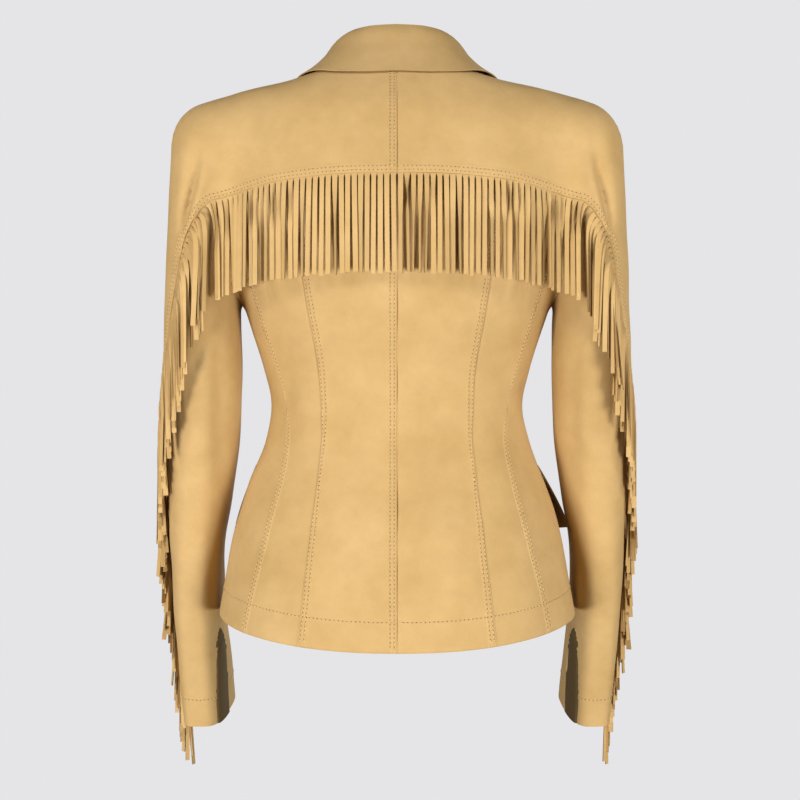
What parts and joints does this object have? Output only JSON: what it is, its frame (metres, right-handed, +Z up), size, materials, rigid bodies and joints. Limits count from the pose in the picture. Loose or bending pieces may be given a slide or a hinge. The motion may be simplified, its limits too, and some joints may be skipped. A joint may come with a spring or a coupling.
{
  "type": "blazer",
  "caption": "Fitted hip-length suede blazer, filled out as worn, with a turned down collar and lapels, princess seams, flap pockets, and fringe along the back yoke and both sleeves.",
  "frame": {"origin": "between the shoulder tops, in the middle of the garment, just below the neckline", "axes": "+X to the wearer's left, +Y out of the back, +Z up"},
  "size_m": [0.4846, 0.2654, 0.7505],
  "materials": {
    "yoke_left": "tan suede, napped and matt",
    "yoke_right": "tan suede, napped and matt",
    "back_centre_left": "tan suede, napped and matt",
    "back_centre_right": "tan suede, napped and matt",
    "back_side_left": "tan suede, napped and matt",
    "back_side_right": "tan suede, napped and matt",
    "side_left": "tan suede, napped and matt",
    "side_right": "tan suede, napped and matt",
    "front_left": "tan suede, napped and matt",
    "front_right": "tan suede, napped and matt",
    "under_sleeve_left": "tan suede, napped and matt",
    "under_sleeve_right": "tan suede, napped and matt",
    "lapel_left": "tan suede, napped and matt",
    "lapel_right": "tan suede, napped and matt",
    "pocket_flap_left": "tan suede, napped and matt",
    "pocket_flap_right": "tan suede, napped and matt",
    "fringe_back_left": "tan suede, napped and matt",
    "fringe_back_right": "tan suede, napped and matt",
    "fringe_sleeve_left": "tan suede, napped and matt",
    "fringe_sleeve_right": "tan suede, napped and matt",
    "collar": "tan suede, napped and matt",
    "button_1": "dark horn effect, satin",
    "button_2": "dark horn effect, satin",
    "button_3": "dark horn effect, satin"
  },
  "bodies": {
    "root": {"yoke_left": "yoke_left", "yoke_right": "yoke_right", "back_centre_left": "back_centre_left", "back_centre_right": "back_centre_right", "back_side_left": "back_side_left", "back_side_right": "back_side_right", "side_left": "side_left", "side_right": "side_right", "front_left": "front_left", "front_right": "front_right", "under_sleeve_left": "under_sleeve_left", "under_sleeve_right": "under_sleeve_right", "lapel_left": "lapel_left", "lapel_right": "lapel_right", "pocket_flap_left": "pocket_flap_left", "pocket_flap_right": "pocket_flap_right", "fringe_back_left": "fringe_back_left", "fringe_back_right": "fringe_back_right", "fringe_sleeve_left": "fringe_sleeve_left", "fringe_sleeve_right": "fringe_sleeve_right", "collar": "collar", "button_1": "button_1", "button_2": "button_2", "button_3": "button_3"}
  },
  "joints": []
}
